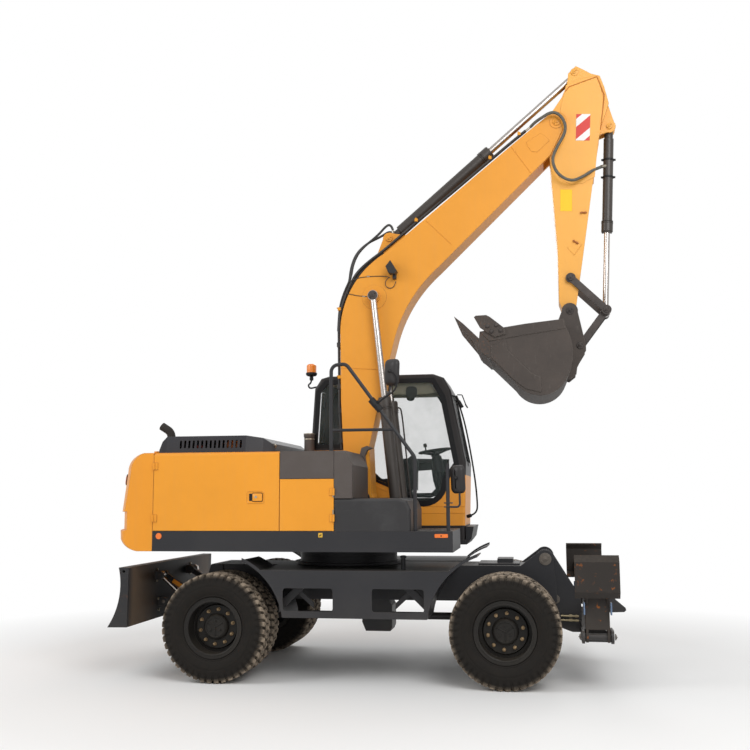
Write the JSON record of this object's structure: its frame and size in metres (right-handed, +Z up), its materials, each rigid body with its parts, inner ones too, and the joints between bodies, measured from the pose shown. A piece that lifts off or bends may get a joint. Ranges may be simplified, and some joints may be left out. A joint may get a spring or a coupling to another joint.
{
  "type": "wheeled excavator",
  "caption": "Wheeled excavator with a cranked boom, tucked arm and bucket, cab on the left, stabilisers at the front and a dozer blade at the rear.",
  "frame": {"origin": "on the ground, below the centre of the machine's box", "axes": "+X to the machine's front, +Y to its left side, +Z up"},
  "size_m": [5.3649, 2.5518, 6.449],
  "materials": {
    "yellow_paint": "satin, a little worn",
    "charcoal_paint": "satin, dusty",
    "worn_steel": "matt, scratched",
    "cylinder_paint": "satin",
    "chrome": "polished",
    "rim_paint": "satin",
    "rubber": "matt, dusty in the grooves",
    "hose_rubber": "matt",
    "cab_paint": "satin",
    "cab_trim": "grained",
    "beacon_orange": "ribbed lens",
    "engine_iron": "painted cast iron",
    "cab_glass": "clear"
  },
  "bodies": {
    "chassis": {"chassis_frame": "charcoal_paint", "side_steps": "charcoal_paint", "axle_rear": "charcoal_paint", "axle_front": "charcoal_paint", "gearbox_and_shafts": "charcoal_paint", "stabiliser_frame": "charcoal_paint"},
    "knuckle_right": {"knuckle_right": "charcoal_paint"},
    "knuckle_left": {"knuckle_left": "charcoal_paint"},
    "steering_rod": {"steering_rod": "charcoal_paint"},
    "blade_arms": {"blade_lower_arms": "charcoal_paint"},
    "blade": {"blade": "charcoal_paint"},
    "blade_links": {"blade_upper_links": "charcoal_paint"},
    "blade_barrels": {"blade_barrels": "cylinder_paint"},
    "blade_rods": {"blade_rods": "chrome"},
    "upper": {"upper_frame": "charcoal_paint", "counterweight": "yellow_paint", "engine_block": "engine_iron", "top_cover": "yellow_paint", "dark_covers": "charcoal_paint", "tool_box": "charcoal_paint", "exhaust": "charcoal_paint", "cab_shell": "cab_paint", "cab_glass": "cab_glass", "cab_interior": "cab_trim", "handrails": "charcoal_paint", "mirrors": "cab_trim", "beacon": "beacon_orange"},
    "hood": {"engine_hood": "charcoal_paint"},
    "door_right_rear": {"door_right_rear": "yellow_paint"},
    "door_right_front": {"door_right_front": "yellow_paint"},
    "door_left": {"door_left": "yellow_paint"},
    "cab_door": {"cab_door": "cab_paint", "door_glass": "cab_glass"},
    "boom": {"boom": "yellow_paint", "hoses": "hose_rubber", "work_lamp": "cab_trim"},
    "boom_barrels": {"boom_barrels": "cylinder_paint"},
    "boom_rods": {"boom_rods": "chrome"},
    "arm": {"arm": "yellow_paint"},
    "arm_barrel": {"arm_barrel": "cylinder_paint"},
    "arm_rod": {"arm_rod": "chrome"},
    "bucket": {"bucket": "worn_steel"},
    "side_links": {"side_links": "charcoal_paint"},
    "bucket_link": {"bucket_link": "charcoal_paint"},
    "bucket_barrel": {"bucket_barrel": "cylinder_paint"},
    "bucket_rod": {"bucket_rod": "chrome"},
    "leg_right": {"leg_right": "charcoal_paint"},
    "leg_barrel_right": {"leg_barrel_right": "cylinder_paint"},
    "leg_rod_right": {"leg_rod_right": "chrome"},
    "leg_left": {"leg_left": "charcoal_paint"},
    "leg_barrel_left": {"leg_barrel_left": "cylinder_paint"},
    "leg_rod_left": {"leg_rod_left": "chrome"},
    "wheel_front_right": {"tyres_front_right": "rubber", "rims_front_right": "rim_paint"},
    "wheel_front_left": {"tyres_front_left": "rubber", "rims_front_left": "rim_paint"},
    "wheel_rear_right": {"tyres_rear_right": "rubber", "rims_rear_right": "rim_paint"},
    "wheel_rear_left": {"tyres_rear_left": "rubber", "rims_rear_left": "rim_paint"}
  },
  "joints": [
    {"name": "wheel_rear_right", "type": "hinge", "parent": "chassis", "child": "wheel_rear_right", "pos_m": [-1.4, -1.136, 0.522], "axis": [0, 1, 0], "continuous": true},
    {"name": "wheel_rear_left", "type": "hinge", "parent": "chassis", "child": "wheel_rear_left", "pos_m": [-1.4, 1.136, 0.522], "axis": [0, 1, 0], "continuous": true},
    {"name": "wheel_front_right", "type": "hinge", "parent": "knuckle_right", "child": "wheel_front_right", "pos_m": [1.4, -1.136, 0.522], "axis": [0, 1, 0], "continuous": true},
    {"name": "wheel_front_left", "type": "hinge", "parent": "knuckle_left", "child": "wheel_front_left", "pos_m": [1.4, 1.136, 0.522], "axis": [0, 1, 0], "continuous": true},
    {"name": "steer", "type": "hinge", "parent": "chassis", "child": "knuckle_right", "pos_m": [1.4, -0.79, 0.522], "axis": [0, 0, 1], "range_deg": [-28, 28]},
    {"name": "steer_left", "type": "hinge", "parent": "chassis", "child": "knuckle_left", "pos_m": [1.4, 0.79, 0.522], "axis": [0, 0, 1], "range_deg": [-28.05, 28.05]},
    {"name": "steering_slide", "type": "slide", "parent": "chassis", "child": "steering_rod", "axis": [0, 1, 0], "range_m": [-0.06623, 0.06623]},
    {"name": "blade_lower", "type": "hinge", "parent": "chassis", "child": "blade_arms", "pos_m": [-1.785, 0, 0.404], "axis": [0, -1, 0], "range_deg": [0, 72]},
    {"name": "blade_upright", "type": "hinge", "parent": "blade_arms", "child": "blade", "pos_m": [-2.226, 0, 0.68], "axis": [0, -1, 0], "range_deg": [-72.05, 0.05]},
    {"name": "blade_link_turn", "type": "hinge", "parent": "chassis", "child": "blade_links", "pos_m": [-1.785, 0, 0.684], "axis": [0, -1, 0], "range_deg": [-0.05, 72.05]},
    {"name": "blade_barrel_turn", "type": "hinge", "parent": "chassis", "child": "blade_barrels", "pos_m": [-1.665, 0, 0.47], "axis": [0, -1, 0], "range_deg": [-0.05, 54.22]},
    {"name": "blade_rod_slide", "type": "slide", "parent": "blade_barrels", "child": "blade_rods", "axis": [-0.7532, 0, 0.6578], "range_m": [-0.21287, 0.0005]},
    {"name": "stabiliser_right", "type": "hinge", "parent": "chassis", "child": "leg_right", "pos_m": [2.245, -1.06, 0.48], "axis": [1, 0, 0], "range_deg": [0, 118]},
    {"name": "leg_barrel_right_turn", "type": "hinge", "parent": "chassis", "child": "leg_barrel_right", "pos_m": [2.245, -0.25, 0.86], "axis": [1, 0, 0], "range_deg": [-0.05, 17.27]},
    {"name": "leg_rod_right_slide", "type": "slide", "parent": "leg_barrel_right", "child": "leg_rod_right", "axis": [0, -0.9975, -0.0702], "range_m": [-0.0005, 0.52086]},
    {"name": "stabiliser_left", "type": "hinge", "parent": "chassis", "child": "leg_left", "pos_m": [2.245, 1.06, 0.48], "axis": [-1, 0, 0], "range_deg": [0, 118]},
    {"name": "leg_barrel_left_turn", "type": "hinge", "parent": "chassis", "child": "leg_barrel_left", "pos_m": [2.245, 0.25, 0.86], "axis": [-1, 0, 0], "range_deg": [-0.05, 17.27]},
    {"name": "leg_rod_left_slide", "type": "slide", "parent": "leg_barrel_left", "child": "leg_rod_left", "axis": [0, 0.9975, -0.0702], "range_m": [-0.0005, 0.52086]},
    {"name": "swing", "type": "hinge", "parent": "chassis", "child": "upper", "pos_m": [-0.297, 0, 1.17], "axis": [0, 0, 1], "continuous": true},
    {"name": "hood_open", "type": "hinge", "parent": "upper", "child": "hood", "pos_m": [-0.915, 0, 2.234], "axis": [0, 1, 0], "range_deg": [0, 40]},
    {"name": "door_right_rear_open", "type": "hinge", "parent": "upper", "child": "door_right_rear", "pos_m": [-2.035, -1.256, 1.8], "axis": [0, 0, -1], "range_deg": [0, 100]},
    {"name": "door_right_front_open", "type": "hinge", "parent": "upper", "child": "door_right_front", "pos_m": [-0.208, -1.256, 1.7], "axis": [0, 0, 1], "range_deg": [0, 100]},
    {"name": "door_left_open", "type": "hinge", "parent": "upper", "child": "door_left", "pos_m": [-2.035, 1.256, 1.8], "axis": [0, 0, 1], "range_deg": [0, 100]},
    {"name": "cab_door_open", "type": "hinge", "parent": "upper", "child": "cab_door", "pos_m": [-0.3, 1.256, 2.2], "axis": [0, 0, 1], "range_deg": [0, 165]},
    {"name": "boom_lower", "type": "hinge", "parent": "upper", "child": "boom", "pos_m": [-0.13, 0, 1.745], "axis": [0, 1, 0], "range_deg": [-3, 46]},
    {"name": "boom_barrel_turn", "type": "hinge", "parent": "upper", "child": "boom_barrels", "pos_m": [0.287, 0, 1.4], "axis": [0, 1, 0], "range_deg": [-2.77, 41.77]},
    {"name": "boom_rod_slide", "type": "slide", "parent": "boom_barrels", "child": "boom_rods", "axis": [-0.1043, 0, 0.9945], "range_m": [-0.38491, 0.02557]},
    {"name": "arm_out", "type": "hinge", "parent": "boom", "child": "arm", "pos_m": [2.034, 0, 5.809], "axis": [0, -1, 0], "range_deg": [-8, 95]},
    {"name": "arm_barrel_turn", "type": "hinge", "parent": "boom", "child": "arm_barrel", "pos_m": [0.176, 0, 4.619], "axis": [0, -1, 0], "range_deg": [-0.58, 6.36]},
    {"name": "arm_rod_slide", "type": "slide", "parent": "arm_barrel", "child": "arm_rod", "axis": [0.7612, 0, 0.6485], "range_m": [-0.86443, 0.07325]},
    {"name": "bucket_dump", "type": "hinge", "parent": "arm", "child": "bucket", "pos_m": [2.116, 0, 3.72], "axis": [0, -1, 0], "range_deg": [-5, 135]},
    {"name": "side_link_turn", "type": "hinge", "parent": "arm", "child": "side_links", "pos_m": [2.136, 0, 4.078], "axis": [0, -1, 0], "range_deg": [-3.93, 104.73]},
    {"name": "bucket_link_turn", "type": "hinge", "parent": "side_links", "child": "bucket_link", "pos_m": [2.496, 0, 3.72], "axis": [0, -1, 0], "range_deg": [-77.11, 2.9]},
    {"name": "bucket_barrel_turn", "type": "hinge", "parent": "arm", "child": "bucket_barrel", "pos_m": [2.6, 0, 5.755], "axis": [0, -1, 0], "range_deg": [-6.7, 0.3]},
    {"name": "bucket_rod_slide", "type": "slide", "parent": "bucket_barrel", "child": "bucket_rod", "axis": [-0.051, 0, -0.9987], "range_m": [-0.78263, 0.02947]}
  ],
  "couplings": [
    {"joint": "steer_left", "follows": "steer", "ratio": 1},
    {"joint": "steering_slide", "follows": "steer", "m_per_rad": -0.13449},
    {"joint": "blade_upright", "follows": "blade_lower", "ratio": -1},
    {"joint": "blade_link_turn", "follows": "blade_lower", "ratio": 1},
    {"joint": "blade_barrel_turn", "follows": "blade_lower", "ratio": 0.7524},
    {"joint": "blade_rod_slide", "follows": "blade_lower", "m_per_rad": -0.169},
    {"joint": "leg_barrel_right_turn", "follows": "stabiliser_right", "ratio": 0.14597},
    {"joint": "leg_rod_right_slide", "follows": "stabiliser_right", "m_per_rad": 0.25266},
    {"joint": "leg_barrel_left_turn", "follows": "stabiliser_left", "ratio": 0.14597},
    {"joint": "leg_rod_left_slide", "follows": "stabiliser_left", "m_per_rad": 0.25266},
    {"joint": "boom_barrel_turn", "follows": "boom_lower", "ratio": 0.90685},
    {"joint": "boom_rod_slide", "follows": "boom_lower", "m_per_rad": -0.4788},
    {"joint": "arm_barrel_turn", "follows": "arm_out", "ratio": 0.066378},
    {"joint": "arm_rod_slide", "follows": "arm_out", "m_per_rad": -0.52105},
    {"joint": "side_link_turn", "follows": "bucket_dump", "ratio": 0.77541},
    {"joint": "bucket_link_turn", "follows": "bucket_dump", "ratio": -0.57083},
    {"joint": "bucket_barrel_turn", "follows": "bucket_dump", "ratio": -0.049282},
    {"joint": "bucket_rod_slide", "follows": "bucket_dump", "m_per_rad": -0.33194}
  ]
}
